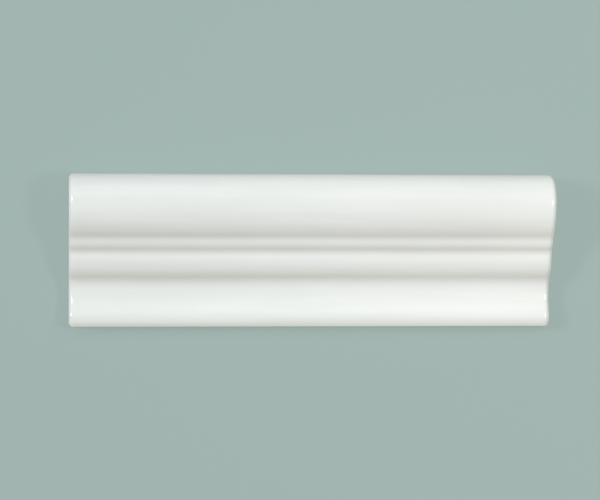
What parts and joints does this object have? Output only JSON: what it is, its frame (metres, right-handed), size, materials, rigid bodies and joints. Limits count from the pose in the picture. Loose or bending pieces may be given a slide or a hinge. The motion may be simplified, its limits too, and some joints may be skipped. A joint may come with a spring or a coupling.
{
  "type": "ceramic moulding tile",
  "caption": "Straight length of white glazed ceramic wall moulding: a thumb-shaped roll above a small bead, an ogee, a shallow toe and a lipped lower edge, with a flat keyed back for tile adhesive.",
  "frame": {"origin": "centre of the flat back, on the plane that bonds to the wall", "axes": "+X along the moulding, +Y across it towards the rolled top edge, +Z out of the back towards the moulded face"},
  "size_m": [0.2, 0.063, 0.025],
  "materials": {
    "white_glaze": "glossy white glaze over a pale fired body, bare on the back"
  },
  "bodies": {
    "root": {"moulding_tile": "white_glaze"}
  },
  "joints": []
}
